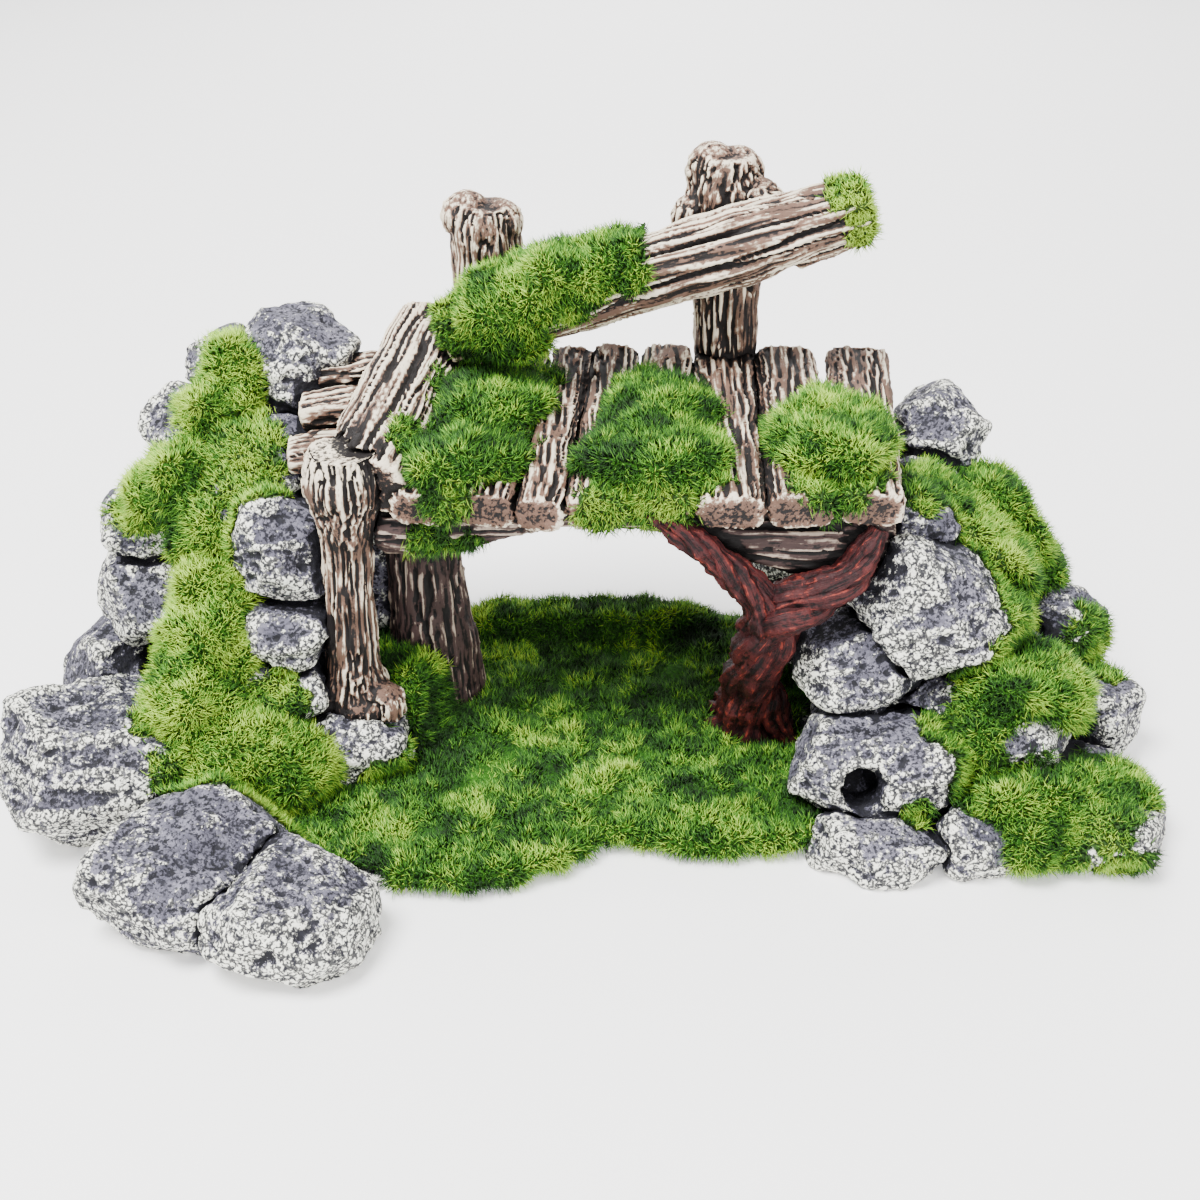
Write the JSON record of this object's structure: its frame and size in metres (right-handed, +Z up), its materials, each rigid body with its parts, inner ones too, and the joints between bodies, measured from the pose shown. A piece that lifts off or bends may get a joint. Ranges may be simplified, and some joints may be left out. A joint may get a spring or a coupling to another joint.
{
  "type": "aquarium cave ornament",
  "caption": "Aquarium cave ornament: a rustic log and plank bridge between two stone piles, with a slanting rail, a forked root, mossy patches and a swim-through arch",
  "frame": {"origin": "centre of the footprint, on the surface that the ornament stands on", "axes": "+X along the ornament's length towards the pile with the round hole, +Y away from the front, +Z up"},
  "size_m": [0.2083, 0.1137, 0.1052],
  "materials": {
    "stone_paint": "matte",
    "pale_wood_paint": "matte",
    "dark_wood_paint": "matte",
    "root_paint": "satin",
    "moss_flock": "matte",
    "cast_resin": "matte"
  },
  "bodies": {
    "root": {"arch_stone": "stone_paint", "base_slab": "cast_resin", "beam_stone": "stone_paint", "edge_log": "pale_wood_paint", "foot_stone": "stone_paint", "front_beam": "dark_wood_paint", "front_boulder": "stone_paint", "front_post": "pale_wood_paint", "lawn": "moss_flock", "left_back_stone": "stone_paint", "left_cobble": "stone_paint", "left_core": "cast_resin", "left_crest": "stone_paint", "left_front_boulder": "stone_paint", "left_rail_post": "pale_wood_paint", "left_rear_wall": "stone_paint", "left_shoulder": "stone_paint", "left_step": "stone_paint", "left_toe_boulder": "stone_paint", "lower_ledge": "stone_paint", "middle_ledge": "stone_paint", "moss_deck_left": "moss_flock", "moss_deck_middle": "moss_flock", "moss_deck_right": "moss_flock", "moss_left_lower": "moss_flock", "moss_left_upper": "moss_flock", "moss_rail": "moss_flock", "moss_right_lower": "moss_flock", "moss_right_middle": "moss_flock", "moss_right_upper": "moss_flock", "peep_stone": "stone_paint", "plank_2": "pale_wood_paint", "plank_3": "pale_wood_paint", "plank_4": "pale_wood_paint", "plank_5": "pale_wood_paint", "plank_6": "pale_wood_paint", "plank_7": "pale_wood_paint", "plank_8": "pale_wood_paint", "plank_9": "pale_wood_paint", "rail": "pale_wood_paint", "ramp_board_1": "pale_wood_paint", "ramp_board_2": "pale_wood_paint", "ramp_board_3": "pale_wood_paint", "rear_beam": "dark_wood_paint", "rear_trunk": "dark_wood_paint", "red_root": "root_paint", "right_back_stone": "stone_paint", "right_core": "cast_resin", "right_front_boulder": "stone_paint", "right_front_cobble": "stone_paint", "right_low_cobble": "stone_paint", "right_mid_cobble": "stone_paint", "right_rail_post": "pale_wood_paint", "right_rear_wall": "stone_paint", "right_toe_boulder": "stone_paint", "right_top_stone": "stone_paint", "right_wall_stone": "stone_paint", "tilted_boulder": "stone_paint", "top_boulder": "stone_paint", "upper_ledge": "stone_paint"}
  },
  "joints": []
}
